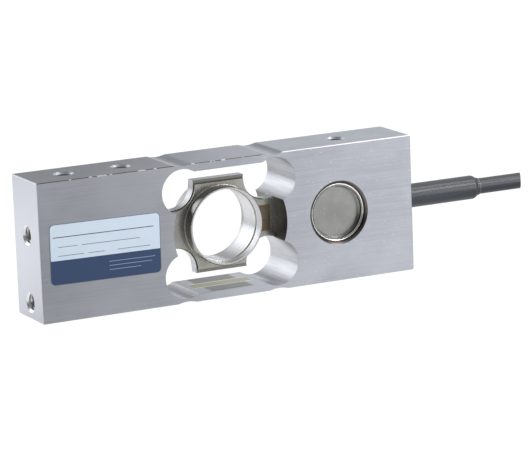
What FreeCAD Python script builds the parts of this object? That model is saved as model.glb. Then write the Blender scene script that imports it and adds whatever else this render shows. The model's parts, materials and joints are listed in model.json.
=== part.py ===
import FreeCAD, Part
import math
import os

# Single point load cell. One stainless block is cut into a parallel guide: two thin links above
# and below a stiff middle web, with four round holes that leave the flexures. The web carries a
# measuring ring whose gauges are sealed by a thin welded sleeve. A drilled channel leads their
# wires to a round wiring cavity, and the cable leaves at the end of the block.
# Millimetres. X runs along the block towards the cable, Y from the front face to the back and
# Z up. The origin is the middle of the block's underside.

# Block
LENGTH = 150.0
HEIGHT = 51.0
THICKNESS = 23.0
EDGE_CHAMFER = 0.3

# Parallel guide
NECK_HALF_HEIGHT = 7.1
FLEXURE_THICKNESS = 0.95
LINK_THICKNESS = 3.0
GROOVE_WIDTH = 7.5
GROOVE_DEPTH = 0.65

# Measuring ring in the middle web, and the round recess that bares it from both faces
RING_BORE_R = 14.5
RING_WALL = 1.2
RING_CROWN = 2.7
WEB_THICKNESS = 4.0
RECESS_FIELD = 8.4

# Seal plates, sleeve and collars that close the ring
PLATE_THICKNESS = 1.0
PLATE_STEP = 1.4
PLATE_SCALLOP = 0.3
CHAMBER_GAP = 1.1
SLEEVE_WALL = 0.3
RIM_DEPTH = 3.5
COLLAR_WALL = 1.1
COLLAR_EDGE = 0.25
COLLAR_LIP = 0.5
COLLAR_FUNNEL = 3.2

# Wiring window in the front seal plate, and its welded cover
WINDOW_HALF_HEIGHT = 3.9
WINDOW_LENGTH = 4.4
WINDOW_POCKET_DEPTH = 1.1
COVER_HALF_HEIGHT = 4.8
COVER_OVERLAP = 1.0
COVER_THICKNESS = 0.35
COVER_GAP = 0.1
STRIP_LENGTH = 2.6
STRIP_WIDTH = 1.2
STRIP_HEIGHT = 0.5

# Gauges, terminals and bridge wires inside the ring
GAUGE_HALF_SPAN = 9.0
GAUGE_WIDTH = 3.2
GAUGE_THICKNESS = 0.12
TERMINAL_OFFSET = 14.0
TERMINAL_HALF_SPAN = 3.0
TERMINAL_WIDTH = 2.4
TERMINAL_THICKNESS = 0.3
WIRE_R = 0.12
WIRE_SETBACK = 0.5
WIRE_SPACING = 0.5
WIRE_BEND = 0.6
CHANNEL_R = 1.2

# Wiring cavity and its cap
NECK_WALL = 5.45
CAVITY_R = 10.9
CAVITY_CHAMFER = 1.1
CAVITY_LEDGE = 1.0
CAP_HEIGHT = 2.6
CAP_DISH = 1.8
CAP_LIP = 1.05
CAP_SLOPE = 0.6

# Compensation board, set back from the cable's cores
BOARD_R = 8.8
BOARD_THICKNESS = 1.0
BOARD_CLEARANCE = 1.25
BOARD_PAD_R = 7.0
BOARD_PAD_THICKNESS = 2.0
PIN_WIDTH = 0.9
PIN_HEIGHT = 1.0
PIN_COLUMN_X = 5.5
CABLE_PIN_PITCH = 1.9
BRIDGE_PIN_PITCH = 2.4
RESISTOR_LENGTH = 5.0
RESISTOR_WIDTH = 1.8
RESISTOR_HEIGHT = 0.6
RESISTOR_END_LENGTH = 0.9
RESISTOR_END_STEP = 0.1
RESISTOR_PITCH = 2.6

# Cable, its sleeving and its entry
CABLE_R = 3.0
CABLE_FREE_LENGTH = 53.4
CABLE_INNER_LENGTH = 5.6
SLEEVING_R = 4.5
SLEEVING_FREE_LENGTH = 33.0
SLEEVING_SHOULDER = 1.2
SLEEVING_NECK_WALL = 0.35
SLEEVING_NECK_LENGTH = 1.4
ENTRY_MOUTH_GAP = 0.1
ENTRY_MOUTH_DEPTH = 2.0
ENTRY_BORE_R = 3.7
ENTRY_GAP = 0.3
FERRULE_LENGTH = 2.0
SEAL_WIDTH = 0.7
POTTING_SETBACK = 0.5
FAN_INSET = 0.8
CORE_R = 0.45
CORE_CIRCLE_R = 1.3
CORE_BEND = 1.5
DRAIN_R = 0.25
CORE_COLOURS = ("green", "red", "black", "white", "blue", "yellow")
WIRE_SIDES = 6

# Tapped M6 holes, bored to the thread's outer radius
THREAD_R = 3.0
THREAD_DEPTH = 9.0
COUNTERSINK_R = 3.75
DRILL_POINT = 118.0
FREE_END_HOLE = 15.2
GUIDE_HOLE = 10.75
CABLE_END_HOLE = 25.5
LOW_END_HOLE = 6.0
HIGH_END_HOLE = 5.0

# Label
LABEL_END_MARGIN = 3.7
LABEL_RECESS_MARGIN = 5.4
LABEL_HEIGHT = 22.0
LABEL_DROP = 1.2
LABEL_THICKNESS = 0.1
LABEL_CORNER_R = 1.8
LABEL_TILT = 0.8

# Clearance between fitted pieces, and how far a cutter runs past what it cuts
FIT = 0.02
OVERCUT = 1.0

MID_Z = HEIGHT / 2
FRONT_Y = -THICKNESS / 2
END_X = LENGTH / 2
LOBE_R = (MID_Z - GROOVE_DEPTH - FLEXURE_THICKNESS - NECK_HALF_HEIGHT) / 2
LOBE_Z = NECK_HALF_HEIGHT + LOBE_R
LOBE_X = math.sqrt((RING_BORE_R + RING_WALL + LOBE_R) ** 2 - LOBE_Z ** 2)
LOBE_ANGLE = math.degrees(math.atan2(LOBE_Z, LOBE_X))
WEB_HALF_HEIGHT = RING_BORE_R + RING_CROWN
WEB_FACE = WEB_THICKNESS / 2
RECESS_R = RING_BORE_R + RECESS_FIELD
PLATE_FACE = WEB_FACE + PLATE_THICKNESS
PLATE_HALF_HEIGHT = WEB_HALF_HEIGHT - PLATE_STEP
SLEEVE_OUTER_R = RING_BORE_R - CHAMBER_GAP
SLEEVE_R = SLEEVE_OUTER_R - SLEEVE_WALL
COLLAR_TOP = THICKNESS / 2 - RIM_DEPTH
SLEEVE_HALF_LENGTH = COLLAR_TOP - COLLAR_FUNNEL
WINDOW_END_X = RING_BORE_R + WINDOW_LENGTH
WIRE_RING_R = RING_BORE_R - WIRE_SETBACK
CAVITY_X = LOBE_X + LOBE_R + NECK_WALL + CAVITY_R + CAVITY_CHAMFER
CAVITY_FLOOR_R = CAVITY_R - CAVITY_LEDGE
CAP_TOP_Y = FRONT_Y + CAVITY_CHAMFER
CAP_BOTTOM_Y = CAP_TOP_Y + CAP_HEIGHT
BOARD_FACE_Y = CORE_CIRCLE_R + CORE_R + BOARD_CLEARANCE
CAVITY_FLOOR_Y = BOARD_FACE_Y + BOARD_THICKNESS + BOARD_PAD_THICKNESS
PIN_TOP_Y = BOARD_FACE_Y - PIN_HEIGHT
CABLE_START_X = END_X - CABLE_INNER_LENGTH
CABLE_END_X = END_X + CABLE_FREE_LENGTH
POTTING_END_X = CAVITY_X + CAVITY_FLOOR_R + POTTING_SETBACK


def vec(x, y, z):
    return FreeCAD.Vector(x, y, z)


def box(x0, x1, y0, y1, z0, z1):
    return Part.makeBox(x1 - x0, y1 - y0, z1 - z0, vec(x0, y0, z0))


def round_along_x(radius, x0, x1):
    """A cylinder on the cable's axis."""
    return Part.makeCylinder(radius, x1 - x0, vec(x0, 0, MID_Z), vec(1, 0, 0))


def round_along_y(radius, x, z, y0, y1):
    return Part.makeCylinder(radius, y1 - y0, vec(x, y0, z), vec(0, 1, 0))


def through(radius, x, z):
    """A round cutter along Y that passes both faces of the block."""
    return round_along_y(radius, x, z, -THICKNESS, THICKNESS)


def turned(points, x=0.0):
    """Turn an outline of (radius, y) points about the axis along Y at x."""
    outline = [vec(x + radius, y, MID_Z) for radius, y in points]
    face = Part.Face(Part.makePolygon(outline + outline[:1]))
    return face.revolve(vec(x, 0, MID_Z), vec(0, 1, 0), 360)


def ring_patch(inner, outer, angle, half_span, width):
    """A patch on the wall of the ring bore, centred at an angle from +X towards +Z."""
    axis = vec(0, -1, 0)
    centre = vec(0, 0, MID_Z)
    corners = [(inner, -width / 2), (outer, -width / 2), (outer, width / 2), (inner, width / 2)]
    outline = [vec(radius, y, MID_Z) for radius, y in corners]
    face = Part.Face(Part.makePolygon(outline + outline[:1]))
    face.rotate(centre, axis, angle - half_span)
    return face.revolve(centre, axis, 2 * half_span)


def line(start, end):
    return Part.LineSegment(start, end).toShape()


def arc(start, middle, end):
    return Part.Arc(start, middle, end).toShape()


def bent_run(points, bend):
    """Straight runs joined by tangent arcs, no larger than the bend or than the runs allow."""
    edges = []
    start = points[0]
    for before, corner, after in zip(points, points[1:], points[2:]):
        into = before - corner
        out = after - corner
        shorter = min(into.Length, out.Length)
        into.normalize()
        out.normalize()
        half = into.getAngle(out) / 2
        radius = min(bend, 0.45 * shorter * math.tan(half))
        reach = radius / math.tan(half)
        middle = (into + out).normalize() * (radius / math.sin(half) - radius)
        edges.append(line(start, corner + into * reach))
        edges.append(arc(corner + into * reach, corner + middle, corner + out * reach))
        start = corner + out * reach
    edges.append(line(start, points[-1]))
    return edges


def wire_along(edges, radius):
    """A thin wire along tangent edges, with a many-sided section across the first of them."""
    first = edges[0]
    start = first.valueAt(first.FirstParameter)
    heading = first.tangentAt(first.FirstParameter)
    side = heading.cross(vec(0, 1, 0)).normalize()
    up = heading.cross(side)
    turns = [math.tau * k / WIRE_SIDES for k in range(WIRE_SIDES + 1)]
    corners = [start + side * (radius * math.cos(t)) + up * (radius * math.sin(t)) for t in turns]
    return Part.Wire(edges).makePipeShell([Part.makePolygon(corners)], True, False)


def plain_block():
    block = box(-END_X, END_X, FRONT_Y, -FRONT_Y, 0, HEIGHT)
    return block.makeChamfer(EDGE_CHAMFER, block.Edges)


def lobe_places():
    return [(side * LOBE_X, MID_Z + up * LOBE_Z) for side in (-1, 1) for up in (-1, 1)]


def guide_cutters():
    """Four round holes, joined in pairs by the slots between each link and the web."""
    cutters = [through(LOBE_R, x, z) for x, z in lobe_places()]
    slot_top = HEIGHT / 2 - LINK_THICKNESS
    for low, high in ((WEB_HALF_HEIGHT, slot_top), (-slot_top, -WEB_HALF_HEIGHT)):
        cutters.append(box(-LOBE_X, LOBE_X, -THICKNESS, THICKNESS, MID_Z + low, MID_Z + high))
    return cutters


def groove_cutters():
    """Shallow round grooves over and under the holes, which thin the flexures from outside."""
    radius = (GROOVE_WIDTH ** 2 / 4 + GROOVE_DEPTH ** 2) / (2 * GROOVE_DEPTH)
    rise = radius - GROOVE_DEPTH
    return [through(radius, side * LOBE_X, z) for side in (-1, 1) for z in (-rise, HEIGHT + rise)]


def recess_cutters():
    """The round recess on each face, which stops at the links and at the web."""
    inner_height = HEIGHT / 2 - LINK_THICKNESS
    between_links = box(-END_X, END_X, -THICKNESS, THICKNESS, MID_Z - inner_height, MID_Z + inner_height)
    front = round_along_y(RECESS_R, 0, MID_Z, -THICKNESS, -WEB_FACE)
    back = round_along_y(RECESS_R, 0, MID_Z, WEB_FACE, THICKNESS)
    return [front.common(between_links), back.common(between_links)]


def window_pocket_cutter():
    """A shallow pocket under the wiring window, open to the ring bore and the channel."""
    return box(
        RING_BORE_R - OVERCUT, WINDOW_END_X,
        -PLATE_FACE, -WEB_FACE + WINDOW_POCKET_DEPTH,
        MID_Z - WINDOW_HALF_HEIGHT, MID_Z + WINDOW_HALF_HEIGHT,
    )


def channel_cutter():
    """The drilled way for the bridge wires, from the ring bore to the cavity."""
    return round_along_x(CHANNEL_R, RING_BORE_R - OVERCUT, CAVITY_X)


def cavity_cutters():
    """A chamfered mouth, the cap's seat and the narrower cavity behind its ledge."""
    wide = CAVITY_R + CAVITY_CHAMFER + OVERCUT
    above = FRONT_Y - OVERCUT
    flare = [(0, above), (wide, above), (CAVITY_R, CAP_TOP_Y), (0, CAP_TOP_Y)]
    mouth = turned(flare, CAVITY_X)
    seat = round_along_y(CAVITY_R, CAVITY_X, MID_Z, FRONT_Y, CAP_BOTTOM_Y)
    cavity = round_along_y(CAVITY_FLOOR_R, CAVITY_X, MID_Z, FRONT_Y, CAVITY_FLOOR_Y)
    return [mouth, seat, cavity]


def entry_cutters():
    mouth = round_along_x(SLEEVING_R + ENTRY_MOUTH_GAP, END_X - ENTRY_MOUTH_DEPTH, END_X + OVERCUT)
    bore = round_along_x(ENTRY_BORE_R, CAVITY_X, END_X)
    return [mouth, bore]


def tapped_hole(mouth, inward):
    """A blind hole with a countersunk mouth and a drill point."""
    point = THREAD_R / math.tan(math.radians(DRILL_POINT / 2))
    sink = COUNTERSINK_R - THREAD_R
    hole = Part.makeCylinder(THREAD_R, THREAD_DEPTH, mouth, inward)
    tip = Part.makeCone(THREAD_R, 0, point, mouth + inward * THREAD_DEPTH, inward)
    flare = Part.makeCone(
        COUNTERSINK_R + OVERCUT, THREAD_R, sink + OVERCUT, mouth - inward * OVERCUT, inward,
    )
    return [hole, tip, flare]


def fixing_cutters():
    """Three tapped holes in the top, three in the underside and two in the free end."""
    cutters = []
    for x in (-END_X + FREE_END_HOLE, -LOBE_X - LOBE_R - GUIDE_HOLE, END_X - CABLE_END_HOLE):
        cutters += tapped_hole(vec(x, 0, HEIGHT), vec(0, 0, -1))
        cutters += tapped_hole(vec(x, 0, 0), vec(0, 0, 1))
    for z in (LOW_END_HOLE, MID_Z + HIGH_END_HOLE):
        cutters += tapped_hole(vec(-END_X, 0, z), vec(1, 0, 0))
    return cutters


def sensing_body():
    cutters = guide_cutters() + recess_cutters() + groove_cutters()
    cutters += [through(RING_BORE_R, 0, MID_Z), window_pocket_cutter(), channel_cutter()]
    cutters += cavity_cutters() + entry_cutters() + fixing_cutters()
    return plain_block().cut(cutters).removeSplitter()


def seal_plate(y0, y1):
    """A flat plate welded over one side of the ring, scalloped round the four holes."""
    disc = round_along_y(RECESS_R - FIT, 0, MID_Z, y0, y1)
    band = box(-END_X, END_X, y0, y1, MID_Z - PLATE_HALF_HEIGHT, MID_Z + PLATE_HALF_HEIGHT)
    scallops = [through(LOBE_R + PLATE_SCALLOP, x, z) for x, z in lobe_places()]
    return disc.common(band).cut(scallops + [through(SLEEVE_OUTER_R + FIT, 0, MID_Z)])


def front_seal_plate():
    return seal_plate(-PLATE_FACE, -WEB_FACE).cut(window_pocket_cutter())


def wire_slot_cover():
    """A small saddle over the wiring window, cut round the collar's foot."""
    cover = box(
        0, WINDOW_END_X + COVER_OVERLAP, -PLATE_FACE - COVER_THICKNESS, -PLATE_FACE,
        MID_Z - COVER_HALF_HEIGHT, MID_Z + COVER_HALF_HEIGHT,
    )
    foot = through(SLEEVE_OUTER_R + COLLAR_WALL + COVER_GAP, 0, MID_Z)
    return cover.cut(foot)


def junction_strip():
    """A solder strip on the floor of the window pocket, beside the channel."""
    floor = -WEB_FACE + WINDOW_POCKET_DEPTH
    x0 = RING_BORE_R + (WINDOW_LENGTH - STRIP_LENGTH) / 2
    z0 = MID_Z + (CHANNEL_R + WINDOW_HALF_HEIGHT - STRIP_WIDTH) / 2
    return box(x0, x0 + STRIP_LENGTH, floor - STRIP_HEIGHT, floor, z0, z0 + STRIP_WIDTH)


def gauge_sleeve():
    """A thin tube inside the ring, welded to the collars at its two ends."""
    end = SLEEVE_HALF_LENGTH
    return turned([(SLEEVE_R, -end), (SLEEVE_R, end), (SLEEVE_OUTER_R, end), (SLEEVE_OUTER_R, -end)])


def collar(side):
    """A ring that stands on the seal plate. Its funnel leads from the lip to the sleeve's end."""
    inner = SLEEVE_OUTER_R + FIT
    outer = SLEEVE_OUTER_R + COLLAR_WALL
    lip = outer - COLLAR_EDGE
    outline = [
        (inner, PLATE_FACE), (outer, PLATE_FACE), (outer, COLLAR_TOP - COLLAR_EDGE),
        (lip, COLLAR_TOP), (lip - COLLAR_LIP, COLLAR_TOP), (inner, SLEEVE_HALF_LENGTH),
    ]
    return turned([(radius, side * y) for radius, y in outline])


def cavity_cap():
    """A turned cap with a raised lip and a dished face, seated on the cavity's ledge."""
    outer = CAVITY_R - FIT
    lip = outer - CAP_LIP
    floor = CAP_TOP_Y + CAP_DISH
    outline = [
        (0, floor), (lip - CAP_SLOPE, floor), (lip, floor - CAP_SLOPE), (lip, CAP_TOP_Y),
        (outer, CAP_TOP_Y), (outer, CAP_BOTTOM_Y), (0, CAP_BOTTOM_Y),
    ]
    return turned(outline, CAVITY_X)


def gauge_angles():
    """The four places where the ring is thinnest, each facing one of the round holes."""
    return {
        "upper_right": LOBE_ANGLE,
        "upper_left": 180 - LOBE_ANGLE,
        "lower_left": LOBE_ANGLE - 180,
        "lower_right": -LOBE_ANGLE,
    }


def strain_gauge(angle):
    return ring_patch(RING_BORE_R - GAUGE_THICKNESS, RING_BORE_R, angle, GAUGE_HALF_SPAN, GAUGE_WIDTH)


def terminal_angle(angle):
    """A terminal lies beside its gauge, on the side towards the channel."""
    return angle - math.copysign(TERMINAL_OFFSET, angle)


def gauge_terminal(angle):
    return ring_patch(
        RING_BORE_R - TERMINAL_THICKNESS, RING_BORE_R,
        terminal_angle(angle), TERMINAL_HALF_SPAN, TERMINAL_WIDTH,
    )


def ring_run(start_angle, level, y):
    """Round the ring from an angle, then a small bend out to the line of the channel."""
    axis = vec(0, y, MID_Z)
    side = math.copysign(1, start_angle)
    bend_z = level + side * WIRE_BEND
    bend_x = math.sqrt((WIRE_RING_R + WIRE_BEND) ** 2 - bend_z ** 2)
    bend_centre = axis + vec(bend_x, 0, bend_z)
    leave_angle = math.degrees(math.atan2(bend_z, bend_x))

    def on_ring(angle):
        turn = math.radians(angle)
        return axis + vec(WIRE_RING_R * math.cos(turn), 0, WIRE_RING_R * math.sin(turn))

    to_line = vec(0, 0, -side)
    halfway = ((axis - bend_centre).normalize() + to_line).normalize()
    return [
        arc(on_ring(start_angle), on_ring((start_angle + leave_angle) / 2), on_ring(leave_angle)),
        arc(on_ring(leave_angle), bend_centre + halfway * WIRE_BEND, bend_centre + to_line * WIRE_BEND),
    ]


def bridge_wire(index, angle):
    """A wire from a terminal round the ring, along the channel and on to the board."""
    y = (index - 1.5) * WIRE_SPACING
    level = math.copysign(WIRE_SPACING / 2, angle)
    edges = ring_run(terminal_angle(angle), level, y)
    pin_x, pin_z = bridge_pins()[index]
    points = [
        edges[-1].valueAt(edges[-1].LastParameter),
        vec(CAVITY_X - CAVITY_FLOOR_R, y, MID_Z + level),
        vec(pin_x, PIN_TOP_Y - PIN_HEIGHT, pin_z),
        vec(pin_x, PIN_TOP_Y, pin_z),
    ]
    return wire_along(edges + bent_run(points, WIRE_BEND), WIRE_R)


def board_pad():
    """The soft pad that holds the board off the cavity's floor."""
    return round_along_y(BOARD_PAD_R, CAVITY_X, MID_Z, CAVITY_FLOOR_Y - BOARD_PAD_THICKNESS, CAVITY_FLOOR_Y)


def compensation_board():
    return round_along_y(BOARD_R, CAVITY_X, MID_Z, BOARD_FACE_Y, BOARD_FACE_Y + BOARD_THICKNESS)


def bridge_pins():
    x = CAVITY_X - PIN_COLUMN_X
    return [(x, MID_Z + (1.5 - k) * BRIDGE_PIN_PITCH) for k in range(4)]


def cable_pins():
    x = CAVITY_X + PIN_COLUMN_X
    return [(x, MID_Z + (3 - k) * CABLE_PIN_PITCH) for k in range(7)]


def board_pins():
    """Square solder pins in two columns, one for the bridge wires and one for the cable."""
    half = PIN_WIDTH / 2
    places = bridge_pins() + cable_pins()
    pins = [box(x - half, x + half, PIN_TOP_Y, BOARD_FACE_Y, z - half, z + half) for x, z in places]
    return Part.makeCompound(pins)


def trim_resistor(column):
    """A chip resistor with thicker soldered ends, on the board between the pin columns."""
    x0 = CAVITY_X + column * RESISTOR_PITCH - RESISTOR_WIDTH / 2
    x1 = x0 + RESISTOR_WIDTH
    z0 = MID_Z - RESISTOR_LENGTH / 2
    top = BOARD_FACE_Y - RESISTOR_HEIGHT
    chip = box(x0, x1, top, BOARD_FACE_Y, z0, z0 + RESISTOR_LENGTH)
    low = box(x0, x1, top - RESISTOR_END_STEP, BOARD_FACE_Y, z0, z0 + RESISTOR_END_LENGTH)
    high = low.translated(vec(0, 0, RESISTOR_LENGTH - RESISTOR_END_LENGTH))
    return chip.fuse([low, high]).removeSplitter()


def core_places():
    """The cores' places across the cable, listed from the top pin of the board down."""
    angles = (90, 150, 30, 210, 330, 270)
    turns = [math.radians(angle) for angle in angles]
    return [(CORE_CIRCLE_R * math.cos(t), MID_Z + CORE_CIRCLE_R * math.sin(t)) for t in turns]


def core_run(y, z, pin):
    """Straight through the potting, then across the cavity and down on a pin."""
    pin_x, pin_z = pin
    points = [
        vec(CABLE_START_X, y, z),
        vec(CAVITY_X + CAVITY_FLOOR_R - FAN_INSET, y, z),
        vec(pin_x, PIN_TOP_Y - PIN_HEIGHT - CORE_R, pin_z),
        vec(pin_x, PIN_TOP_Y, pin_z),
    ]
    return bent_run(points, CORE_BEND)


def drain_run(pin):
    """The drain wire runs along the cable's axis to the middle pin."""
    pin_x, pin_z = pin
    points = [vec(CABLE_START_X, 0, MID_Z), vec(pin_x, 0, pin_z), vec(pin_x, PIN_TOP_Y, pin_z)]
    return bent_run(points, CORE_BEND)


def conductors():
    pins = cable_pins()
    middle = pins.pop(3)
    nodes = {}
    for colour, (y, z), pin in zip(CORE_COLOURS, core_places(), pins):
        nodes["core_" + colour] = wire_along(core_run(y, z, pin), CORE_R)
    nodes["drain_wire"] = wire_along(drain_run(middle), DRAIN_R)
    return nodes


def entry_potting():
    """Sealing compound round the cores, between the cable's end and the cavity."""

    def core_hole(y, z, radius):
        return wire_along([line(vec(END_X, y, z), vec(CAVITY_X, y, z))], radius)

    plug = round_along_x(ENTRY_BORE_R - FIT, POTTING_END_X, CABLE_START_X)
    holes = [core_hole(y, z, CORE_R) for y, z in core_places()]
    return plug.cut(holes + [core_hole(0, MID_Z, DRAIN_R)])


def entry_ring(x0, x1, inner, outer):
    """A plain ring round the cable, inside its bore."""
    return round_along_x(outer, x0, x1).cut(round_along_x(inner, x0, x1))


def entry_seal_ring():
    """A rubber ring squeezed between the cable and the entry bore."""
    x0 = CABLE_START_X + ENTRY_GAP
    return entry_ring(x0, x0 + SEAL_WIDTH, CABLE_R + FIT, ENTRY_BORE_R - FIT)


def entry_ferrule():
    """A metal ring that grips the cable behind its sleeving."""
    x1 = END_X - ENTRY_MOUTH_DEPTH - ENTRY_GAP
    return entry_ring(x1 - FERRULE_LENGTH, x1, CABLE_R + FIT, ENTRY_BORE_R - FIT)


def cable():
    return round_along_x(CABLE_R, CABLE_START_X, CABLE_END_X)


def cable_sleeve():
    """Shrink sleeving over the cable, from inside the entry to an eased shoulder and a thin neck."""
    inner = CABLE_R + FIT
    neck = inner + SLEEVING_NECK_WALL
    x0 = END_X - ENTRY_MOUTH_DEPTH
    x1 = END_X + SLEEVING_FREE_LENGTH
    ease = (SLEEVING_R - neck) * (1 - math.sqrt(0.5))
    outline = [
        (x0, inner), (x0, SLEEVING_R), (x1 - SLEEVING_SHOULDER, SLEEVING_R), (x1 - ease, SLEEVING_R - ease),
        (x1, neck), (x1 + SLEEVING_NECK_LENGTH, neck), (x1 + SLEEVING_NECK_LENGTH, inner),
    ]
    corners = [vec(x, 0, MID_Z + radius) for x, radius in outline]
    face = Part.Face(Part.makePolygon(corners + corners[:1]))
    return face.revolve(vec(0, 0, MID_Z), vec(1, 0, 0), 360)


def label():
    """A thin foil plate with round corners, set a little out of true on the front face."""
    x0 = -END_X + LABEL_END_MARGIN
    x1 = -RECESS_R - LABEL_RECESS_MARGIN
    middle_z = MID_Z - LABEL_DROP
    half_height = LABEL_HEIGHT / 2
    plate = box(x0, x1, FRONT_Y - LABEL_THICKNESS, FRONT_Y, middle_z - half_height, middle_z + half_height)
    corners = [edge for edge in plate.Edges if abs(edge.tangentAt(edge.FirstParameter).y) > 0.5]
    plate = plate.makeFillet(LABEL_CORNER_R, corners)
    plate.rotate(vec((x0 + x1) / 2, 0, middle_z), vec(0, 1, 0), LABEL_TILT)
    return plate


def gauge_circuit():
    nodes = {}
    for index, (place, angle) in enumerate(gauge_angles().items()):
        nodes["gauge_" + place] = strain_gauge(angle)
        nodes["terminal_" + place] = gauge_terminal(angle)
        nodes["bridge_wire_" + place] = bridge_wire(index, angle)
    return nodes


def all_nodes():
    nodes = {
        "sensing_body": sensing_body(),
        "front_seal_plate": front_seal_plate(),
        "rear_seal_plate": seal_plate(WEB_FACE, PLATE_FACE),
        "wire_slot_cover": wire_slot_cover(),
        "junction_strip": junction_strip(),
        "gauge_sleeve": gauge_sleeve(),
        "front_collar": collar(-1),
        "rear_collar": collar(1),
        "cavity_cap": cavity_cap(),
        "board_pad": board_pad(),
        "compensation_board": compensation_board(),
        "board_pins": board_pins(),
        "zero_resistor": trim_resistor(-1),
        "modulus_resistor": trim_resistor(0),
        "span_resistor": trim_resistor(1),
        "entry_potting": entry_potting(),
        "entry_seal_ring": entry_seal_ring(),
        "entry_ferrule": entry_ferrule(),
        "cable": cable(),
        "cable_sleeve": cable_sleeve(),
        "label": label(),
    }
    nodes.update(gauge_circuit())
    nodes.update(conductors())
    return nodes


os.makedirs("parts", exist_ok=True)
for node, shape in all_nodes().items():
    shape.exportStep("parts/" + node + ".step")
    print(node, len(shape.Solids), "solid", round(shape.Volume, 3), "mm3", "valid", shape.isValid())
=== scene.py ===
import json
import math

import bpy
from mathutils import Matrix, Vector


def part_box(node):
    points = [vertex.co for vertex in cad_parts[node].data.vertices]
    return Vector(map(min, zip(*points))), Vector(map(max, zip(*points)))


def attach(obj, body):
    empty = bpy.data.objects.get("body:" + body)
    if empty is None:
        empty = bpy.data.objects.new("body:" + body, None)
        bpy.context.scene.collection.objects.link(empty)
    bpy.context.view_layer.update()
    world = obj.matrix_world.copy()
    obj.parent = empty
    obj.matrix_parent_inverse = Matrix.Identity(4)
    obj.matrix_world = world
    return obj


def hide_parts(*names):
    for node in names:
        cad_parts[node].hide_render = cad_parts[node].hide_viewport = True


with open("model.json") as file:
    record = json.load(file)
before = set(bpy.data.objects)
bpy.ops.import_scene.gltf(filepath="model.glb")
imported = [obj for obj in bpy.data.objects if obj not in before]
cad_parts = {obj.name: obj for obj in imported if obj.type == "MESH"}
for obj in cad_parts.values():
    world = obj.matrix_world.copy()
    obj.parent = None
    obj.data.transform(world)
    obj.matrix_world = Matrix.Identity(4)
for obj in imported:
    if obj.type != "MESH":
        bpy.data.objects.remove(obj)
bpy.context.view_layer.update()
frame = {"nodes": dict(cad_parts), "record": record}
nodes = frame["nodes"]

# The view. The photograph looks at the block from its left front and a little above, through a
# long lens, so the camera stands far off and leans slightly to one side.
camera_place = (-0.51318, -1.08560, 0.27718)
aim_point = Vector((0.019624, 0.0, 0.019044))
camera_lean = math.radians(-2.246)
bpy.ops.object.camera_add(location=camera_place)
camera = bpy.context.object
camera.name = "camera"
camera.data.sensor_width = 36.0
camera.data.lens = 227.227
camera.data.clip_end = 20.0
heading = (aim_point - camera.location).to_track_quat("-Z", "Y").to_matrix()
camera.rotation_euler = (heading @ Matrix.Rotation(camera_lean, 3, "Z")).to_euler()
bpy.context.scene.camera = camera
bpy.context.scene.view_settings.view_transform = "Standard"


# The studio. The camera sees a white floor with a faint shadow and a white background. Metal sees
# a floor with bright and dull bands, and over it a grey room that is bright behind the block and
# dark at the front left.
def node(tree, kind, inputs=None, **settings):
    """Add a shader node. An input is a value or another node's output."""
    made = tree.nodes.new("ShaderNode" + kind)
    for name, value in settings.items():
        setattr(made, name, value)
    for key, value in (inputs or {}).items():
        if isinstance(value, bpy.types.NodeSocket):
            tree.links.new(value, made.inputs[key])
        else:
            made.inputs[key].default_value = value
    return made


def calc(tree, operation, *values):
    """The result of a math node."""
    return node(tree, "Math", dict(enumerate(values)), operation=operation).outputs[0]


def product(tree, *factors):
    """All the factors multiplied together."""
    result = factors[0]
    for factor in factors[1:]:
        result = calc(tree, "MULTIPLY", result, factor)
    return result


def vector_calc(tree, operation, *values):
    """The result of a vector math node: a number for a dot product or a length, else a vector."""
    made = node(tree, "VectorMath", dict(enumerate(values)), operation=operation)
    return made.outputs["Value" if operation in ("DOT_PRODUCT", "LENGTH") else "Vector"]


def ramp(tree, value, low, high, start=0.0, end=1.0):
    """A number that goes smoothly from start, where value is low, to end, where it is high."""
    inputs = {0: value, 1: low, 2: high, 3: start, 4: end}
    return node(tree, "MapRange", inputs, interpolation_type="SMOOTHSTEP").outputs[0]


def glow(tree, towards, low, high, amount):
    """Light that grows as a ray turns towards a direction."""
    ray = node(tree, "TexCoord").outputs["Generated"]
    facing = vector_calc(tree, "DOT_PRODUCT", ray, Vector(towards).normalized())
    return ramp(tree, facing, low, high, 0.0, amount)


def seen_plainly(tree):
    """1 for what the camera sees straight or through something clear, 0 for what lights or mirrors."""
    path = node(tree, "LightPath").outputs
    return calc(tree, "MAXIMUM", path["Is Camera Ray"], path["Is Transmission Ray"])


def place_of(tree):
    """The object's own X, Y and Z, as three outputs."""
    place = node(tree, "TexCoord").outputs["Object"]
    return node(tree, "SeparateXYZ", {0: place}).outputs


world = bpy.data.worlds.new("studio")
world.use_nodes = True
bpy.context.scene.world = world
tree = world.node_tree
tree.nodes.clear()
room = 0.5
for towards, low, high, amount in (
    ((-0.5, 0.86, 0.1), 0.62, 1.0, 1.5),
    ((0.85, 0.45, 0.28), 0.85, 1.0, 0.6),
    ((0.42, 0.3, 0.86), 0.86, 0.98, 1.1),
    ((0.6, -0.75, 0.15), 0.4, 0.95, 0.35),
    ((-0.9, -0.4, 0.1), 0.3, 0.95, -0.38),
):
    room = calc(tree, "ADD", room, glow(tree, towards, low, high, amount))
white_back = node(tree, "Background", {"Color": (1, 1, 1, 1), "Strength": 1.0})
room_back = node(tree, "Background", {"Color": (0.97, 0.985, 1.0, 1), "Strength": room})
plain = seen_plainly(tree)
both_backs = node(tree, "MixShader", {0: plain, 1: room_back.outputs[0], 2: white_back.outputs[0]})
node(tree, "OutputWorld", {0: both_backs.outputs[0]})

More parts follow.
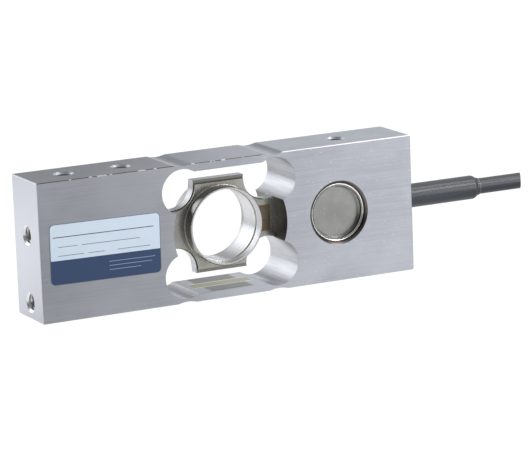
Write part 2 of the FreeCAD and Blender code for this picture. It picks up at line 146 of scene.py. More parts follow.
floor_level = 1.06
floor_share = 0.9
mirrored_share = 0.7
floor_material = bpy.data.materials.new("pale_floor")
floor_material.use_nodes = True
tree = floor_material.node_tree
tree.nodes.clear()
plain = seen_plainly(tree)
spot = place_of(tree)
right_back = calc(tree, "ADD", spot[0], spot[1])
mirrored = calc(tree, "ADD", ramp(tree, right_back, -0.18, 0.03, 0.68, 1.68),
                ramp(tree, right_back, -0.3, -0.2, 0.7, 0.0))
mirrored = calc(tree, "SUBTRACT", mirrored, ramp(tree, right_back, 0.05, 0.13))
mirrored = product(tree, calc(tree, "SUBTRACT", 1.0, plain), mirrored)
strength = calc(tree, "ADD", product(tree, plain, floor_level), mirrored)
light = node(tree, "Emission", {"Color": (1, 1, 1, 1), "Strength": strength})
paint = node(tree, "BsdfDiffuse", {"Color": (0.86, 0.87, 0.88, 1)})
glossy = node(tree, "LightPath").outputs["Is Glossy Ray"]
share = calc(tree, "MAXIMUM", product(tree, plain, floor_share), product(tree, glossy, mirrored_share))
top_side = node(tree, "MixShader", {0: share, 1: paint.outputs[0], 2: light.outputs[0]})
under_side = node(tree, "BsdfTransparent")
from_below = node(tree, "NewGeometry").outputs["Backfacing"]
both_sides = node(tree, "MixShader", {0: from_below, 1: top_side.outputs[0], 2: under_side.outputs[0]})
node(tree, "OutputMaterial", {0: both_sides.outputs[0]})
bpy.ops.mesh.primitive_plane_add(size=16.0, location=(0, 0, -0.0001))
floor = bpy.context.object
floor.name = "floor"
floor.data.materials.append(floor_material)


def softbox(name, place, aim, width, height, level, tint=(1, 1, 1)):
    """A flat lamp that shines towards a point. Its level is what it looks like from there."""
    bpy.ops.object.light_add(type="AREA", location=place)
    lamp = bpy.context.object
    lamp.name = name
    lamp.visible_camera = False
    lamp.data.shape = "RECTANGLE"
    lamp.data.size = width
    lamp.data.size_y = height
    lamp.data.energy = level * math.pi * width * height
    lamp.data.color = tint
    lamp.rotation_euler = (Vector(aim) - lamp.location).to_track_quat("-Z", "Y").to_euler()


softbox("overhead_softbox", (0.46, -0.14, 0.55), (0.46, -0.14, 0), 0.4, 0.22, 4.5, (1.0, 0.97, 0.99))
softbox("back_left_softbox", (-0.95, 1.1, 0.75), (-0.05, 0, 0.02), 1.1, 0.9, 0.5, (0.96, 0.98, 1.0))
softbox("back_right_softbox", (0.44, 0.62, 0.2), (0.05, 0, 0.05), 0.3, 0.22, 0.9, (0.88, 0.94, 1.0))
softbox("cable_softbox", (0.31, -0.33, 0.34), (0.1, 0, 0.025), 0.26, 0.11, 9.0)
softbox("front_right_softbox", (0.46, -0.46, 0.13), (0.07, 0, 0.02), 0.3, 0.3, 3.6, (0.95, 0.98, 1.0))

# The cable. It is a plain round lead that leaves the middle of the end face and was cut off about
# five centimetres on, a little askew, with its jacket, screen and six cores showing in the cut.
MM = 0.001
body_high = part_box("sensing_body")[1]
cable_low, cable_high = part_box("cable")
mid_z = body_high.z / 2
cable_exit = Vector((body_high.x, 0.0, mid_z))
cable_end = Vector((cable_high.x, 0.0, mid_z))
cable_radius = (cable_high.z - cable_low.z) / 2
cut_slant = math.radians(25.0)
cut_lean = cable_radius * math.tan(cut_slant)
cut_start = cable_end - Vector((1.1 * cut_lean, 0, 0))
cut_reach = Vector((2.4 * cut_lean, 0, 0))


def principled(name, colour, roughness, metallic=0.0):
    """A new material with one Principled shader. Returns the material, its tree and the shader."""
    made = bpy.data.materials.new(name)
    made.use_nodes = True
    shader = made.node_tree.nodes["Principled BSDF"]
    shader.inputs["Base Color"].default_value = (*colour, 1)
    shader.inputs["Roughness"].default_value = roughness
    shader.inputs["Metallic"].default_value = metallic
    return made, made.node_tree, shader


def grain(tree, scale, detail=3.0, roughness=0.55, shift=(0, 0, 0)):
    """Noise on the object's own coordinates, from 0 to 1. Scale is features a metre on each axis."""
    place = node(tree, "TexCoord").outputs["Object"]
    spread = node(tree, "Mapping", {"Vector": place, "Scale": scale, "Location": shift}).outputs[0]
    inputs = {"Vector": spread, "Scale": 1.0, "Detail": detail, "Roughness": roughness}
    return node(tree, "TexNoise", inputs).outputs["Fac"]


def even_grain(tree, scale, detail=3.0, roughness=0.55):
    """Noise with as many features a metre on every axis."""
    return grain(tree, (scale, scale, scale), detail, roughness)


def blend(tree, factor, first, second):
    """A colour that goes from first to second. Each is a colour or a node's output."""
    def as_input(colour):
        return colour if isinstance(colour, bpy.types.NodeSocket) else (*colour, 1)
    inputs = {0: factor, 6: as_input(first), 7: as_input(second)}
    return node(tree, "Mix", inputs, data_type="RGBA").outputs[2]


def relief(tree, shader, height, depth, strength=1.0):
    """Bump from a height of 0 to 1, of a real depth."""
    bump = node(tree, "Bump", {"Strength": strength, "Distance": depth, "Height": height})
    tree.links.new(bump.outputs[0], shader.inputs["Normal"])


def rubbery(name, dark, pale, roughness, speck_scale):
    """A dull extruded plastic: faint long streaks, tiny specks and dust in its gloss."""
    made, tree, shader = principled(name, dark, roughness)
    streaks = grain(tree, (60, 700, 700))
    specks = even_grain(tree, speck_scale, 2.0)
    both = calc(tree, "ADD", product(tree, streaks, 0.6), product(tree, specks, 0.4))
    colour = blend(tree, ramp(tree, both, 0.35, 0.65), dark, pale)
    tree.links.new(colour, shader.inputs["Base Color"])
    gloss = ramp(tree, specks, 0.3, 0.7, roughness - 0.03, roughness + 0.04)
    tree.links.new(gloss, shader.inputs["Roughness"])
    relief(tree, shader, both, 0.02 * MM, 0.3)
    return made


def add_round(name, radius, start, end, sides=48):
    """A closed cylinder that runs the cable's way, from start to end."""
    bpy.ops.object.select_all(action="DESELECT")
    bpy.ops.mesh.primitive_cylinder_add(
        vertices=sides, radius=radius, depth=(end - start).length, location=(start + end) / 2,
        rotation=(0, math.pi / 2, 0),
    )
    made = bpy.context.object
    made.name = name
    bpy.ops.object.transform_apply(location=True, rotation=True, scale=True)
    return made


def cut_askew(setback=0.0):
    """Cut the active piece with the slanted plane of the cable's end. The cut face is selected."""
    bpy.ops.object.mode_set(mode="EDIT")
    bpy.ops.mesh.select_mode(type="FACE")
    bpy.ops.mesh.select_all(action="SELECT")
    bpy.ops.mesh.bisect(
        plane_co=cable_end - Vector((setback, 0, 0)), clear_outer=True, use_fill=True,
        plane_no=(math.cos(cut_slant), -math.sin(cut_slant), 0),
    )


def smooth(piece, angle=35.0):
    """Normals recalculated outwards, and round shading with edges above an angle kept crisp."""
    bpy.ops.object.mode_set(mode="OBJECT")
    bpy.ops.object.select_all(action="DESELECT")
    piece.select_set(True)
    bpy.context.view_layer.objects.active = piece
    bpy.ops.object.mode_set(mode="EDIT")
    bpy.ops.mesh.select_all(action="SELECT")
    bpy.ops.mesh.normals_make_consistent(inside=False)
    bpy.ops.object.mode_set(mode="OBJECT")
    bpy.ops.object.shade_smooth_by_angle(angle=math.radians(angle))


def hollow_end(name, radius, wall, depth, material):
    """A short piece of the cable's end, with a wide pocket sunk in its cut face."""
    made = add_round(name, radius, cut_start, cut_start + cut_reach)
    cut_askew()
    bpy.ops.mesh.inset(thickness=wall, depth=0)
    bpy.ops.mesh.extrude_region_move(TRANSFORM_OT_translate={"value": (-depth, 0, 0)})
    smooth(made)
    made.data.materials.append(material)
    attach(made, "root")
    return made


jacket_material = rubbery("cable_jacket", (0.010, 0.013, 0.020), (0.016, 0.020, 0.029), 0.32, 2600)
screen_material, tree, shader = principled("tinned_screen", (0.5, 0.49, 0.47), 0.4, 1.0)
tinning = blend(tree, even_grain(tree, 4000), (0.3, 0.28, 0.26), (0.66, 0.65, 0.62))
tree.links.new(tinning, shader.inputs["Base Color"])
filler_material = rubbery("cable_filler", (0.42, 0.41, 0.38), (0.52, 0.51, 0.48), 0.7, 3000)

jacket_wall = 0.65 * MM
screen_wall = 0.15 * MM
pocket_depth = 0.35 * MM
layer_gap = 0.02 * MM
screen_radius = cable_radius - jacket_wall - layer_gap
filler_radius = screen_radius - screen_wall - layer_gap
jacket_cut = hollow_end("cable_cut_jacket", cable_radius, jacket_wall, pocket_depth, jacket_material)
screen_cut = hollow_end("cable_cut_screen", screen_radius, screen_wall, pocket_depth, screen_material)
filler_cut = add_round("cable_cut_filler", filler_radius, cut_start, cut_start + cut_reach)
cut_askew(0.08 * MM)
bpy.ops.mesh.inset(thickness=0.25 * MM, depth=0.03 * MM)
smooth(filler_cut)
filler_cut.data.materials.append(filler_material)
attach(filler_cut, "root")

core_circle = 1.3 * MM
core_radius = 0.45 * MM
core_wall = 0.2 * MM
core_colours = {
    "green": (0.03, 0.22, 0.06), "red": (0.42, 0.03, 0.02), "black": (0.02, 0.02, 0.022),
    "white": (0.72, 0.71, 0.67), "blue": (0.03, 0.09, 0.38), "yellow": (0.68, 0.5, 0.04),
}
copper_material, tree, shader = principled("bare_copper", (0.72, 0.36, 0.2), 0.35, 1.0)
copper = blend(tree, even_grain(tree, 900), (0.55, 0.26, 0.14), (0.8, 0.44, 0.26))
tree.links.new(copper, shader.inputs["Base Color"])
core_materials = {}
for turn, (colour_name, colour) in enumerate(core_colours.items()):
    paler = [channel * 1.25 + 0.01 for channel in colour]
    core_materials[colour_name] = rubbery("core_" + colour_name, colour, paler, 0.38, 2500)
    angle = math.tau * turn / len(core_colours)
    start = cut_start + Vector((0, core_circle * math.cos(angle), core_circle * math.sin(angle)))
    core_cut = add_round("cable_cut_core_" + colour_name, core_radius, start, start + cut_reach, 20)
    core_cut.data.materials.append(core_materials[colour_name])
    core_cut.data.materials.append(copper_material)
    cut_askew()
    bpy.ops.mesh.inset(thickness=core_wall, depth=0)
    core_cut.active_material_index = 1
    bpy.ops.object.material_slot_assign()
    smooth(core_cut)
    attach(core_cut, "root")

bpy.ops.object.select_all(action="DESELECT")
line = bpy.data.curves.new("cable_jacket", "CURVE")
line.dimensions = "3D"
line.bevel_depth = cable_radius
line.bevel_resolution = 10
line.resolution_u = 10
line.use_fill_caps = True
spline = line.splines.new("NURBS")
cable_stops = (0.0, 0.25, 0.5, 0.75, 1.0)
spline.points.add(len(cable_stops) - 1)
for point, stop in zip(spline.points, cable_stops):
    point.co = (*cable_exit.lerp(cut_start, stop), 1)
spline.order_u = 3
spline.use_endpoint_u = True
cable_jacket = bpy.data.objects.new("cable_jacket", line)
bpy.context.scene.collection.objects.link(cable_jacket)
line.materials.append(jacket_material)
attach(cable_jacket, "root")
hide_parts("cable")


# The sleeving over the cable's exit. It is thick shrink tube, satin and slate grey, with faint
# streaks and specks and a thin pale edge where its neck ends on the cable.
def dress(material, *names):
    """Give a material to whole nodes."""
    for name in names:
        for place in nodes[name].material_slots:
            place.material = material


def falling(tree, value, low, high):
    """1 up to low, going smoothly down to 0 at high."""
    return ramp(tree, value, low, high, 1.0, 0.0)


def within(tree, value, low, high, soft):
    """1 where a value lies between two limits, with soft edges."""
    above = ramp(tree, value, low - soft, low + soft)
    return product(tree, above, falling(tree, value, high - soft, high + soft))


sleeving_material = rubbery("shrink_sleeving", (0.011, 0.014, 0.022), (0.018, 0.022, 0.032), 0.28, 1900)
tree = sleeving_material.node_tree
shader = tree.nodes["Principled BSDF"]
sleeve_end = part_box("cable_sleeve")[1].x
pale_edge = within(tree, place_of(tree)[0], sleeve_end - 0.25 * MM, sleeve_end, 0.05 * MM)
tube_colour = shader.inputs["Base Color"].links[0].from_socket
tree.links.new(blend(tree, pale_edge, tube_colour, (0.12, 0.13, 0.15)), shader.inputs["Base Color"])
dress(sleeving_material, "cable_sleeve")


# The sensing body. It is one block of stainless steel, brushed along its length on the outside and
# milled inside, with painted shade towards its left end and end faces painted lighter. The round
# recess's wall is stained and darkened with painted shade, with a painted highlight at its foot, and
# the web has painted shade by the plates, painted light to the right and a painted highlight on its
# rim. The slots' level faces are painted dark in the middle and pale at the edges, the cap's seat is
# dark, the top front edge is painted dark as a painted reflection with pale nicks and a painted
# highlight to the right, and the countersinks in the end faces are painted bright as a painted glint.
def diagonal(tree, first, second):
    """The distance straight across, from two distances at right angles."""
    squares = calc(tree, "ADD", calc(tree, "POWER", first, 2.0), calc(tree, "POWER", second, 2.0))
    return calc(tree, "SQRT", squares)


def from_axis(tree, axis_x=0.0):
    """The distance from an axis that runs front to back, at the block's middle height."""
    x, y, z = place_of(tree)
    return diagonal(tree, calc(tree, "SUBTRACT", x, axis_x), calc(tree, "SUBTRACT", z, mid_z))


def mouth_of(mount):
    """The middle of a tapped hole's mouth, and the way that it opens."""
    outward = Vector(mount["axis"])
    return Vector(mount["pos_m"]) + outward * mount["dims"]["length_mm"] * MM / 2, outward


half_length = body_high.x
half_depth = body_high.y
skin = 0.06 * MM
web_face = 2.0 * MM
recess_radius = 22.9 * MM
link_face = 22.5 * MM
body_material, tree, shader = principled("brushed_block_steel", (0.45, 0.455, 0.47), 0.36, 1.0)
x, y, z = place_of(tree)
off_z = calc(tree, "SUBTRACT", z, mid_z)
along = calc(tree, "ABSOLUTE", x)
across = calc(tree, "ABSOLUTE", y)
height = calc(tree, "ABSOLUTE", off_z)
radius = from_axis(tree)
normal = node(tree, "TexCoord").outputs["Normal"]

end_faces = ramp(tree, along, half_length - 2 * skin, half_length - skin)
side_faces = ramp(tree, across, half_depth - 2 * skin, half_depth - skin)
top_and_bottom = ramp(tree, height, mid_z - 0.8 * MM, mid_z - 0.7 * MM)
outer = calc(tree, "MAXIMUM", calc(tree, "MAXIMUM", side_faces, end_faces), top_and_bottom)
streaks = grain(tree, (45, 2400, 2400), 4.0, 0.6)
fine = grain(tree, (160, 6000, 6000), 2.0)
clouds = grain(tree, (45, 45, 60), 2.0)
# Pale flecks in the grain, made denser and brighter towards the right as painted light.
flecks_and_sheen = ramp(tree, grain(tree, (520, 5200, 5200), 1.0, 0.5, (3, 1, 2)), 0.71, 0.79)
flecks_and_sheen = product(tree, flecks_and_sheen, ramp(tree, x, -20 * MM, 30 * MM, 0.12, 0.8), 0.7)
brushed = blend(tree, ramp(tree, streaks, 0.3, 0.7), (0.285, 0.293, 0.32), (0.333, 0.342, 0.373))
brushed = blend(tree, ramp(tree, clouds, 0.35, 0.75, 0.0, 0.8), brushed, (0.36, 0.37, 0.4))
brushed = blend(tree, flecks_and_sheen, brushed, (0.8, 0.82, 0.86))
# Painted shade: the block's colour darkens towards its left end.
painted_shade_left = ramp(tree, x, -40 * MM, 10 * MM, 0.17, 0.0)
brushed = blend(tree, painted_shade_left, brushed, (0.16, 0.165, 0.18))
# Painted light: the end faces are painted lighter than the brushed sides.
brushed = blend(tree, end_faces, brushed, (0.56, 0.577, 0.625))
machined = grain(tree, (900, 60, 900), 3.0)
milled = blend(tree, ramp(tree, machined, 0.3, 0.7), (0.37, 0.377, 0.4), (0.45, 0.458, 0.485))
colour = blend(tree, outer, milled, brushed)

radial = vector_calc(tree, "NORMALIZE", node(tree, "CombineXYZ", {0: x, 1: 0.0, 2: off_z}).outputs[0])
turned_in = falling(tree, vector_calc(tree, "DOT_PRODUCT", normal, radial), -0.9, -0.7)
recess_wall = product(
    tree, turned_in, within(tree, radius, 20 * MM, 24 * MM, 0.3 * MM),
    falling(tree, across, half_depth - 0.35 * MM, half_depth - 0.25 * MM),
)
# The recess wall is painted dark brown, partly stain and partly painted shade of the deep pocket.
wall_stain_shade_and_glint = blend(tree, grain(tree, (300, 900, 300), 3.0), (0.13, 0.12, 0.11), (0.2, 0.188, 0.172))
# Painted highlight: a pale band at the foot of the wall where it meets the web.
wall_foot = within(tree, across, web_face, web_face + 0.7 * MM, 0.1 * MM)
wall_stain_shade_and_glint = blend(tree, wall_foot, wall_stain_shade_and_glint, (0.95, 0.93, 0.83))
colour = blend(tree, recess_wall, colour, wall_stain_shade_and_glint)

web = product(
    tree, ramp(tree, across, web_face - 0.15 * MM, web_face - 0.05 * MM),
    falling(tree, across, web_face + 0.05 * MM, web_face + 0.25 * MM),
    falling(tree, radius, recess_radius, recess_radius + 0.1 * MM),
)
# Painted shade: the web is painted dark next to the seal plates' edges.
past_plate = ramp(tree, height, 15.8 * MM, 16.6 * MM, 0.35, 1.0)
web_colour = blend(tree, past_plate, (0.045, 0.042, 0.036), (0.17, 0.166, 0.15))
# Painted light: the web is painted a lighter olive towards the right.
web_colour = blend(tree, ramp(tree, x, 17 * MM, 18 * MM), web_colour, (0.55, 0.535, 0.44))
# Painted highlight: a pale line along the web's rim at the recess's edge.
web_rim = ramp(tree, radius, recess_radius - 0.8 * MM, recess_radius - 0.7 * MM)
web_colour = blend(tree, web_rim, web_colour, (1.0, 0.98, 0.86))
colour = blend(tree, web, colour, web_colour)

upright = calc(tree, "ABSOLUTE", node(tree, "SeparateXYZ", {0: normal}).outputs[2])
slot_strip = product(
    tree, ramp(tree, upright, 0.97, 0.99),
    within(tree, height, link_face - 0.2 * MM, link_face + 0.2 * MM, 0.05 * MM),
    falling(tree, along, 11.4 * MM, 11.8 * MM), falling(tree, across, 3.3 * MM, 3.4 * MM),
)
# The slots' level faces are painted dark in the middle and pale towards their edges.
slot_strip_tones = blend(tree, ramp(tree, across, 2.8 * MM, 2.9 * MM), (0.33, 0.3, 0.2), (0.85, 0.8, 0.6))
colour = blend(tree, slot_strip, colour, slot_strip_tones)

cap_low, cap_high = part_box("cavity_cap")
cap_x = (cap_low.x + cap_high.x) / 2
from_cap = from_axis(tree, cap_x)
seat_inside = 10.8 * MM
seat = product(tree, falling(tree, y, -10 * MM, -9 * MM),
               falling(tree, across, half_depth - 0.1 * MM, half_depth - 0.03 * MM))
chamfer = product(tree, within(tree, from_cap, seat_inside, 12.05 * MM, 0.05 * MM), seat)
colour = blend(tree, chamfer, colour, (0.13, 0.12, 0.115))
gap = product(tree, within(tree, from_cap, seat_inside, 11.35 * MM, 0.08 * MM), seat)
colour = blend(tree, gap, colour, (0.05, 0.04, 0.037))

# The top front edge's chamfer is painted dark as a painted reflection, with pale nicks and a painted
# highlight that grows towards the right.
edge_width = 0.3 * MM
edge_soft = 0.04 * MM
top_edge = product(tree, falling(tree, y, edge_width - edge_soft - half_depth, edge_width - half_depth),
                   ramp(tree, z, body_high.z - edge_width, body_high.z - edge_width + edge_soft))
nicks = ramp(tree, grain(tree, (300, 40, 40), 3.0), 0.56, 0.62)
nicks_and_sheen = calc(tree, "MAXIMUM", nicks, ramp(tree, x, 12 * MM, 24 * MM))
painted_edge_colour = blend(tree, nicks_and_sheen, (0.07, 0.066, 0.066), (0.5, 0.47, 0.5))
colour = blend(tree, top_edge, colour, painted_edge_colour)

thread_mounts = [mount for mount in frame["record"]["mounts"] if mount["kind"] == "threaded_hole"]
place = node(tree, "TexCoord").outputs["Object"]
for mount in thread_mounts:
    mouth, outward = mouth_of(mount)
    offset = vector_calc(tree, "SUBTRACT", place, mouth)
    aside = vector_calc(tree, "LENGTH", vector_calc(tree, "CROSS_PRODUCT", offset, outward))
    level = vector_calc(tree, "DOT_PRODUCT", offset, outward)
    countersink = product(tree, within(tree, aside, 2.9 * MM, 3.72 * MM, 0.04 * MM),
                          ramp(tree, level, -0.95 * MM, -0.9 * MM))
    # Painted glint: the countersinks in the end faces are painted near white, the others mid grey.
    sink_glint_colour = (0.38, 0.39, 0.42) if outward.x == 0 else (0.86, 0.87, 0.9)
    colour = blend(tree, countersink, colour, sink_glint_colour)
tree.links.new(colour, shader.inputs["Base Color"])
gloss = ramp(tree, outer, 0.0, 1.0, 0.33, 0.38)
gloss = calc(tree, "ADD", gloss, ramp(tree, fine, 0.2, 0.8, -0.05, 0.05))
tree.links.new(gloss, shader.inputs["Roughness"])
relief(tree, shader, product(tree, calc(tree, "ADD", streaks, fine), outer), 0.012 * MM, 0.5)
dress(body_material, "sensing_body")

# The M6 threads. Each tapped hole gets its own helical ridge, cut at one millimetre a turn down
# to the drill's width, left dark inside by the cutting oil.
thread_pitch = 1.0 * MM
thread_crest = 2.5 * MM
thread_turns = 7
thread_material, tree, shader = principled("oily_thread", (0.3, 0.28, 0.26), 0.3, 1.0)
oil = ramp(tree, even_grain(tree, 700), 0.35, 0.65)
tree.links.new(blend(tree, oil, (0.3, 0.275, 0.25), (0.66, 0.65, 0.63)), shader.inputs["Base Color"])
sunk_in = 0.02 * MM
thread_root = thread_mounts[0]["dims"]["r_mm"] * MM + sunk_in
ridge_radius = thread_pitch / math.sqrt(3)
squeeze = (thread_root - thread_crest) / (1.5 * ridge_radius)
bpy.ops.object.select_all(action="DESELECT")
bpy.ops.mesh.primitive_circle_add(
    vertices=3, radius=ridge_radius, location=(thread_crest + squeeze * ridge_radius, 0, -thread_pitch / 2),
    rotation=(math.pi / 2, -math.pi / 2, 0),
)
ridge = bpy.context.object
bpy.ops.object.transform_apply(location=False, rotation=True, scale=False)
ridge.scale.x = squeeze
bpy.ops.object.transform_apply(location=True, rotation=True, scale=True)
screw = ridge.modifiers.new("thread", "SCREW")
screw.axis = "Z"
screw.angle = math.tau
screw.screw_offset = -thread_pitch
screw.iterations = thread_turns
screw.steps = 36
screw.render_steps = 36
bpy.ops.object.modifier_apply(modifier="thread")
bpy.ops.object.mode_set(mode="EDIT")
bpy.ops.mesh.select_all(action="SELECT")
bpy.ops.mesh.fill_holes(sides=3)
smooth(ridge, 50)
ridge.data.materials.append(thread_material)
for mount in thread_mounts:
    mouth, outward = mouth_of(mount)
    thread = ridge.copy()
    thread.data = ridge.data.copy()
    thread.name = "thread_" + mount["name"]
    bpy.context.scene.collection.objects.link(thread)
    turned = outward.to_track_quat("Z", "Y").to_matrix().to_4x4()
    thread.data.transform(Matrix.Translation(mouth) @ turned)
    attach(thread, "root")
bpy.data.objects.remove(ridge)

# The seal plates. They are thin satin plates welded over both sides of the ring, a smudged dull
# grey that turns a little brown in the weld's heat round the collar.
plate_material, tree, shader = principled("heat_tinted_plate", (0.4, 0.38, 0.33), 0.3, 1.0)
smudges = even_grain(tree, 160)
fine = grain(tree, (2400, 2400, 500), 2.0)
plate_colour = blend(tree, ramp(tree, smudges, 0.35, 0.65), (0.25, 0.25, 0.235), (0.32, 0.318, 0.295))
wavy_radius = calc(tree, "ADD", from_axis(tree), product(tree, smudges, 2 * MM))
near_weld = product(tree, falling(tree, wavy_radius, 15.2 * MM, 18.5 * MM), 0.35)
plate_colour = blend(tree, near_weld, plate_colour, (0.24, 0.215, 0.17))
tree.links.new(plate_colour, shader.inputs["Base Color"])
tree.links.new(ramp(tree, fine, 0.25, 0.75, 0.24, 0.36), shader.inputs["Roughness"])
relief(tree, shader, fine, 0.01 * MM, 0.5)
dress(plate_material, "front_seal_plate", "rear_seal_plate")

# The wiring window's cover. It is a small saddle of thin sheet, gone a dull olive brown, with rust
# creeping in from its upper and lower ends.
cover_material, tree, shader = principled("rusty_cover", (0.34, 0.3, 0.22), 0.4, 1.0)
rust_noise = even_grain(tree, 420, 4.0, 0.65)
height = calc(tree, "ABSOLUTE", calc(tree, "SUBTRACT", place_of(tree)[2], mid_z))
near_end = ramp(tree, height, 1.5 * MM, 4.6 * MM, 0.0, 0.08)
rust = ramp(tree, calc(tree, "ADD", rust_noise, near_end), 0.5, 0.72)
tarnish = blend(tree, even_grain(tree, 200), (0.075, 0.07, 0.048), (0.14, 0.13, 0.092))
tree.links.new(blend(tree, rust, tarnish, (0.24, 0.11, 0.035)), shader.inputs["Base Color"])
tree.links.new(ramp(tree, rust, 0.0, 1.0, 0.33, 0.75), shader.inputs["Roughness"])
tree.links.new(ramp(tree, rust, 0.0, 1.0, 1.0, 0.25), shader.inputs["Metallic"])
relief(tree, shader, rust_noise, 0.05 * MM, 0.6)
dress(cover_material, "wire_slot_cover")

# The sleeve and its collars. They are bright turned steel with fine rings from the tool, duller on
# the collars, with painted shade on the collars' outer flanks, and warm coloured next to the welds
# that join them to the sleeve.
collar_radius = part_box("front_collar")[1].x
sleeve_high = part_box("gauge_sleeve")[1]
turned_material, tree, shader = principled("turned_sleeve_steel", (0.6, 0.6, 0.61), 0.22, 1.0)
y = place_of(tree)[1]
radius = from_axis(tree)
rings_a_metre = 1300.0
ring_place = node(tree, "CombineXYZ", {
    0: product(tree, y, rings_a_metre), 1: product(tree, radius, rings_a_metre), 2: 0.0,
}).outputs[0]
rings = node(tree, "TexNoise", {"Vector": ring_place, "Scale": 1.0, "Detail": 2.0}).outputs["Fac"]
marks = even_grain(tree, 500)
turned_colour = blend(tree, ramp(tree, rings, 0.3, 0.7), (0.47, 0.475, 0.5), (0.57, 0.577, 0.6))
from_weld = calc(tree, "ABSOLUTE", calc(tree, "SUBTRACT", calc(tree, "ABSOLUTE", y), sleeve_high.y))
from_weld = calc(tree, "ADD", from_weld, product(tree, marks, 0.5 * MM))
warm = ramp(tree, from_weld, 0.3 * MM, 1.1 * MM, 0.5, 0.0)
turned_colour = blend(tree, warm, turned_colour, (0.5, 0.45, 0.36))
on_collar = ramp(tree, radius, sleeve_high.x + 0.05 * MM, sleeve_high.x + 0.2 * MM)
turned_colour = blend(tree, on_collar, turned_colour, (0.42, 0.42, 0.43))
# Painted shade: the collars' outer flanks are painted dark for the dark room that they mirror.
collar_flank = ramp(tree, radius, collar_radius - 0.12 * MM, collar_radius - 0.04 * MM)
turned_colour = blend(tree, collar_flank, turned_colour, (0.27, 0.265, 0.26))
tree.links.new(turned_colour, shader.inputs["Base Color"])
tree.links.new(ramp(tree, marks, 0.25, 0.75, 0.24, 0.36), shader.inputs["Roughness"])
relief(tree, shader, rings, 0.004 * MM, 0.3)
dress(turned_material, "front_collar", "rear_collar", "gauge_sleeve")


# The weld beads. One runs round each collar's foot and one round each end of the sleeve, thin,
# slightly rippled and straw coloured.
def weld_bead(name, ring_radius, y_place, thickness, material):
    """A thin rippled bead of weld that runs all round the ring."""
    bpy.ops.object.select_all(action="DESELECT")
    bpy.ops.mesh.primitive_torus_add(
        location=(0, y_place, mid_z), rotation=(math.pi / 2, 0, 0), major_radius=ring_radius,
        minor_radius=thickness, major_segments=360, minor_segments=8,
    )
    bead = bpy.context.object
    bead.name = name
    bpy.ops.object.transform_apply(location=True, rotation=True, scale=True)
    ripple = bpy.data.textures.new(name, "CLOUDS")
    ripple.noise_scale = 0.9 * MM
    wave = bead.modifiers.new("ripple", "DISPLACE")
    wave.texture = ripple
    wave.strength = 0.2 * thickness
    bpy.ops.object.modifier_apply(modifier="ripple")
    smooth(bead, 60)
    bead.data.materials.append(material)
    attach(bead, "root")


weld_material, tree, shader = principled("weld_bead", (0.42, 0.37, 0.3), 0.28, 1.0)
scorch = ramp(tree, even_grain(tree, 700), 0.35, 0.65)
tree.links.new(blend(tree, scorch, (0.6, 0.555, 0.47), (0.74, 0.71, 0.64)), shader.inputs["Base Color"])
foot_weld_radius = collar_radius + 0.05 * MM
sleeve_weld_radius = sleeve_high.x - 0.08 * MM
plate_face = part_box("rear_seal_plate")[1].y
for side, side_name in ((-1, "front"), (1, "rear")):
    weld_bead("foot_weld_" + side_name, foot_weld_radius, side * plate_face, 0.14 * MM, weld_material)
    weld_bead("sleeve_weld_" + side_name, sleeve_weld_radius, side * sleeve_high.y, 0.1 * MM, weld_material)

# The cavity's cap. It is a turned steel cup pressed into its seat and welded at the rim, with a
# painted highlight on its lip, a ring of painted shade inside it and a satin dished face that has
# taken an olive tone.
cap_radius = (cap_high.x - cap_low.x) / 2
cap_material, tree, shader = principled("dished_cap_steel", (0.38, 0.375, 0.345), 0.34, 1.0)
radius = from_axis(tree, cap_x)
# Painted highlight: the lip is painted bright all round.
lip = ramp(tree, radius, cap_radius - 0.62 * MM, cap_radius - 0.54 * MM)
# Painted shade: a dark ring inside the lip where it turns down into the dish.
painted_lip_shade = within(tree, radius, cap_radius - 0.85 * MM, cap_radius - 0.6 * MM, 0.05 * MM)
speckle = even_grain(tree, 1500)
smudges = even_grain(tree, 110, 2.0)
dish = blend(tree, ramp(tree, smudges, 0.3, 0.7), (0.195, 0.197, 0.19), (0.235, 0.236, 0.229))
dish = blend(tree, ramp(tree, speckle, 0.62, 0.74), dish, (0.4, 0.4, 0.39))
dish = blend(tree, painted_lip_shade, dish, (0.12, 0.11, 0.1))
tree.links.new(blend(tree, lip, dish, (0.72, 0.72, 0.71)), shader.inputs["Base Color"])
tree.links.new(ramp(tree, lip, 0.0, 1.0, 0.38, 0.16), shader.inputs["Roughness"])
lip_round = within(tree, radius, cap_radius - 0.45 * MM, cap_radius - 0.1 * MM, 0.22 * MM)
relief(tree, shader, calc(tree, "ADD", lip_round, product(tree, speckle, 0.04)), 0.25 * MM, 1.0)
dress(cap_material, "cavity_cap")

# The label. It is thin printed foil with round corners: a pale field ruled in dark blue, over a
# dark blue band with three thin pale rules, and a thin dark line round it all.
label_low, label_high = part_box("label")
label_tilt = math.radians(0.8)
half_width = 21.5 * MM
half_height = 11.0 * MM
corner = 1.8 * MM
soft_edge = 0.05 * MM
band_top = -2.2 * MM
heading_ink = (0.018, 0.024, 0.045)
text_ink = (0.1, 0.12, 0.17)
navy = (0.012, 0.04, 0.112)
pale_ink = (0.25, 0.34, 0.5)
outline_ink = (0.06, 0.08, 0.13)
foil = (0.6, 0.6, 0.62)
label_material, tree, shader = principled("printed_foil", (0.6, 0.69, 0.79), 0.42)
place = node(tree, "TexCoord").outputs["Object"]
shifted = vector_calc(tree, "SUBTRACT", place, (label_low + label_high) / 2)
level_place = node(tree, "Mapping", {"Vector": shifted, "Rotation": (0, -label_tilt, 0)}).outputs[0]
u, depth, v = node(tree, "SeparateXYZ", {0: level_place}).outputs


def print_rule(under, left, right, level, thickness, colour):
    """A thin rule across the label, from left to right in millimetres off its middle."""
    across = within(tree, u, left * MM, right * MM, soft_edge)
    line_mask = within(tree, v, (level - thickness / 2) * MM, (level + thickness / 2) * MM, soft_edge)
    return blend(tree, product(tree, across, line_mask), under, colour)


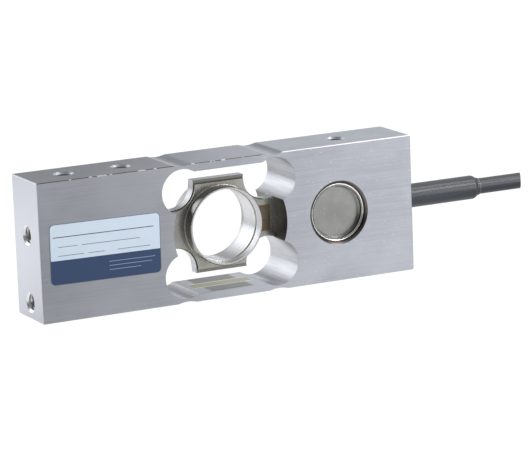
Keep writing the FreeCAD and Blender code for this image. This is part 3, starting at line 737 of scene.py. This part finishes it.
def into_corner(value, half_size):
    """How far a point has gone into the label's rounded corner, one way."""
    from_side = calc(tree, "SUBTRACT", half_size, calc(tree, "ABSOLUTE", value))
    return calc(tree, "MAXIMUM", calc(tree, "SUBTRACT", corner, from_side), 0.0)


printed = blend(tree, even_grain(tree, 300), (0.59, 0.685, 0.785), (0.63, 0.72, 0.815))
printed = print_rule(printed, -20.3, 18.9, 6.2, 0.3, heading_ink)
for left, right, level in (
    (-18.4, -11.0, 2.6), (-9.2, 13.4, 2.6), (-18.4, -8.4, -0.6), (-6.8, -0.4, -0.6), (4.6, 17.4, -0.6),
):
    printed = print_rule(printed, left, right, level, 0.22, text_ink)
printed = blend(tree, within(tree, v, -12 * MM, band_top, soft_edge), printed, navy)
for right, level in ((19.2, -4.7), (18.0, -6.2), (13.6, -7.7)):
    printed = print_rule(printed, 1.2, right, level, 0.2, pale_ink)
corner_reach = diagonal(tree, into_corner(u, half_width), into_corner(v, half_height))
outline = within(tree, calc(tree, "SUBTRACT", corner, corner_reach), 0.0, 0.22 * MM, 0.04 * MM)
printed = blend(tree, outline, printed, outline_ink)
front_side = falling(tree, depth, -0.04 * MM, 0.0)
tree.links.new(blend(tree, front_side, foil, printed), shader.inputs["Base Color"])
tree.links.new(ramp(tree, even_grain(tree, 500), 0.3, 0.7, 0.34, 0.48), shader.inputs["Roughness"])
relief(tree, shader, even_grain(tree, 220, 2.0), 0.02 * MM, 0.4)
dress(label_material, "label")


# Inside the block. The gauges, their wires, the board and what seals the cable are hidden in
# use, so each has a plain finish of its own kind with a little grain.
def grained(name, dark, pale, roughness, metallic, scale):
    """A plain finish that wanders between two colours."""
    made, tree, shader = principled(name, dark, roughness, metallic)
    spots = even_grain(tree, scale)
    gloss = ramp(tree, spots, 0.3, 0.7, roughness - 0.05, roughness + 0.07)
    tree.links.new(blend(tree, ramp(tree, spots, 0.35, 0.65), dark, pale), shader.inputs["Base Color"])
    tree.links.new(gloss, shader.inputs["Roughness"])
    relief(tree, shader, spots, 0.01 * MM, 0.5)
    return made


def at_corners(kind):
    """The names of four nodes of a kind, one at each corner of the ring."""
    corner_names = ("upper_right", "upper_left", "lower_left", "lower_right")
    return [kind + corner_name for corner_name in corner_names]


dress(grained("gauge_film", (0.42, 0.24, 0.06), (0.55, 0.35, 0.12), 0.3, 0.0, 1500), *at_corners("gauge_"))
dress(grained("laminate", (0.03, 0.16, 0.07), (0.05, 0.22, 0.1), 0.4, 0.0, 1200),
      "compensation_board", "junction_strip", *at_corners("terminal_"))
dress(grained("solder", (0.5, 0.5, 0.5), (0.64, 0.64, 0.63), 0.32, 1.0, 1800), "board_pins")
dress(grained("enamelled_wire", (0.36, 0.13, 0.05), (0.5, 0.2, 0.08), 0.28, 0.6, 2000),
      *at_corners("bridge_wire_"))
dress(grained("resistor_enamel", (0.03, 0.04, 0.1), (0.05, 0.06, 0.14), 0.35, 0.0, 2000),
      "zero_resistor", "modulus_resistor", "span_resistor")
dress(grained("pad_foam", (0.5, 0.48, 0.42), (0.62, 0.6, 0.54), 0.85, 0.0, 2500), "board_pad")
dress(grained("potting", (0.028, 0.028, 0.03), (0.045, 0.045, 0.048), 0.3, 0.0, 900), "entry_potting")
dress(grained("seal_rubber", (0.022, 0.022, 0.022), (0.035, 0.035, 0.035), 0.6, 0.0, 1800),
      "entry_seal_ring")
dress(grained("ferrule_brass", (0.58, 0.42, 0.16), (0.68, 0.52, 0.24), 0.3, 1.0, 1500), "entry_ferrule")
dress(copper_material, "drain_wire")
for colour_name, core_material in core_materials.items():
    dress(core_material, "core_" + colour_name)
